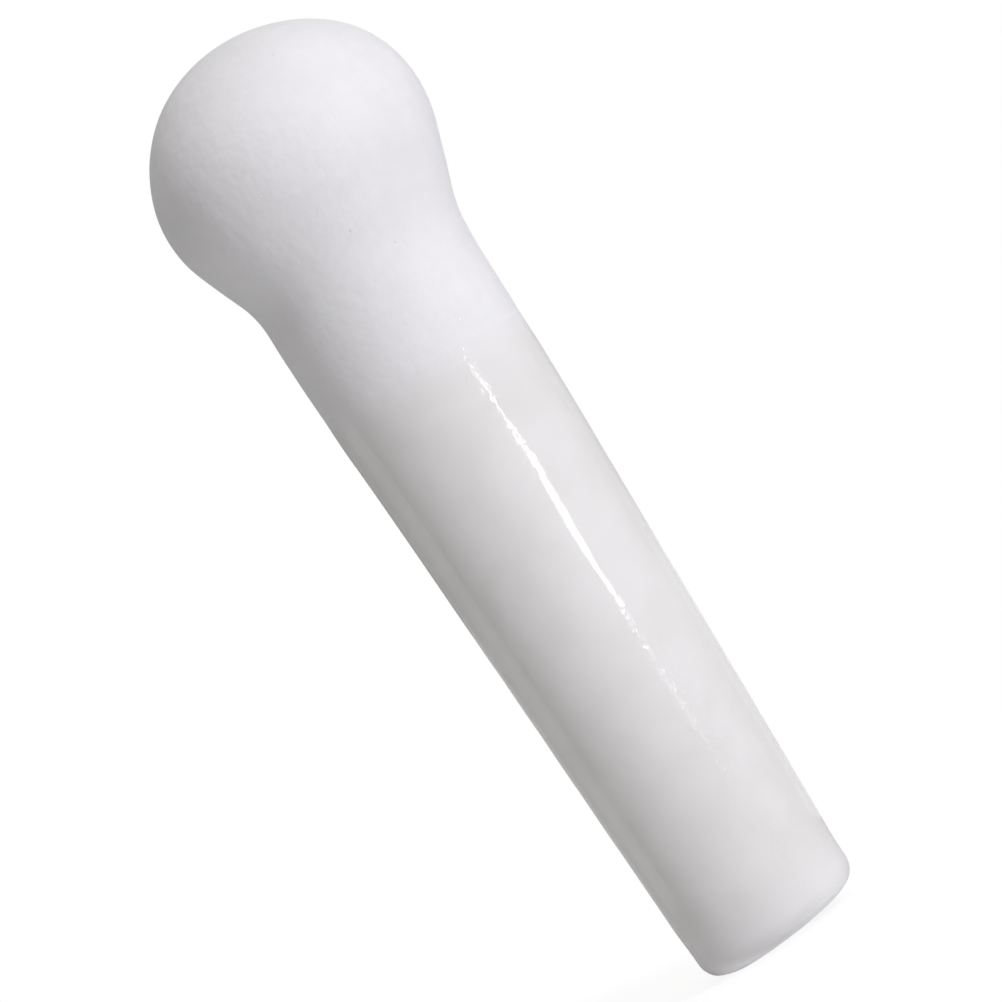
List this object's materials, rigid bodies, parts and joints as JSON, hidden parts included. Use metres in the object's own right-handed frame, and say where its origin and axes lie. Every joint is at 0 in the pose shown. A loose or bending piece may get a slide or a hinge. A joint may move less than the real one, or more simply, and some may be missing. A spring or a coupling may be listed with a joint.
{
  "type": "ceramic pestle",
  "caption": "Porcelain pestle with a bare, slightly flattened ball head for grinding and a tapered, glazed round handle with a flat foot.",
  "frame": {"origin": "middle of the flat foot at the end of the handle, on which the pestle stands", "axes": "+Z along the pestle's axis from the foot to the crown of the head; +X to the right in the picture when the head is turned upright"},
  "size_m": [0.0426, 0.0426, 0.15],
  "materials": {
    "porcelain": "bare fired porcelain, matt, faintly bluish",
    "glaze": "clear glossy glaze over porcelain, faintly warm"
  },
  "bodies": {
    "root": {"porcelain_body": "porcelain", "handle_glaze": "glaze"}
  },
  "joints": []
}
